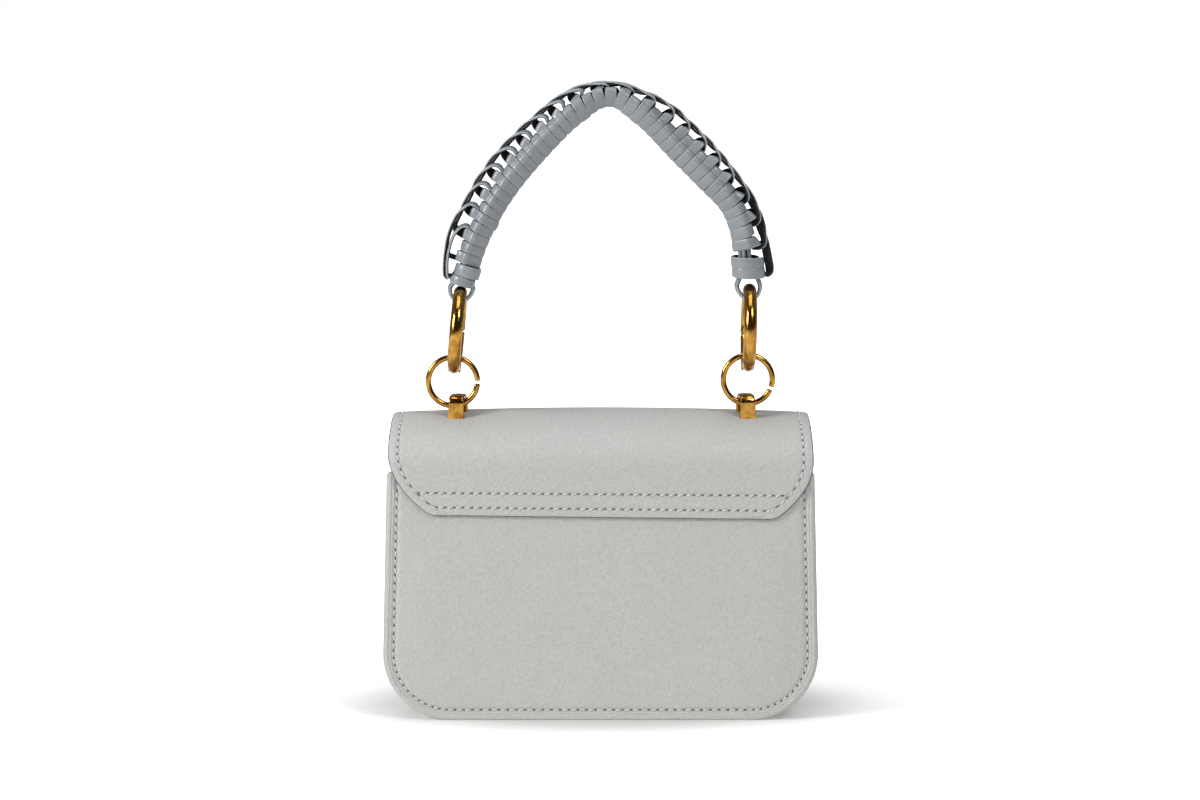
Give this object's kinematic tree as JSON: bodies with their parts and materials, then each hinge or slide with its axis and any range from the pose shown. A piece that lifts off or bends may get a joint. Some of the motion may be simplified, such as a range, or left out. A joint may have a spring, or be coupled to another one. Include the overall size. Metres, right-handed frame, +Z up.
{
  "type": "top-handle flap bag",
  "caption": "Small structured leather bag with an arched flap, carried by a laced leather top handle that hangs on brass wire rings and gated spring rings.",
  "frame": {"origin": "centre of the bag's footprint, on the surface that it stands on", "axes": "+X along the width, to the right when facing the back panel; +Y from the back panel to the front; +Z up"},
  "size_m": [0.193, 0.0666, 0.2826],
  "materials": {
    "grained_leather": "pale grey, fine pebbled grain, satin",
    "lace_leather": "blue grey, smooth, satin",
    "aged_brass": "antique, polished on the high spots",
    "magnet_steel": "plain, hidden"
  },
  "bodies": {
    "bag": {"back_panel": "grained_leather", "front_panel": "grained_leather", "gusset": "grained_leather", "flap": "grained_leather", "flap_magnet": "magnet_steel", "bracket_left": "aged_brass", "bracket_right": "aged_brass", "wire_ring_left": "aged_brass", "wire_ring_right": "aged_brass", "gate_ring_left": "aged_brass", "gate_ring_right": "aged_brass", "handle_lace": "lace_leather", "handle_core": "lace_leather", "end_loop_left": "lace_leather", "end_loop_right": "lace_leather"},
    "left_gate": {"gate_left": "aged_brass"},
    "right_gate": {"gate_right": "aged_brass"}
  },
  "joints": [
    {"name": "left_gate_hinge", "type": "hinge", "parent": "bag", "child": "left_gate", "pos_m": [-0.06503, -0.00458, 0.15547], "axis": [0.9962, 0, -0.0872], "range_deg": [0, 30], "stiffness_Nm_per_rad": 0.02, "springref_deg": -8.59},
    {"name": "right_gate_hinge", "type": "hinge", "parent": "bag", "child": "right_gate", "pos_m": [0.06545, -0.00458, 0.15636], "axis": [0.9998, 0, -0.0175], "range_deg": [0, 30], "stiffness_Nm_per_rad": 0.02, "springref_deg": -8.59}
  ]
}
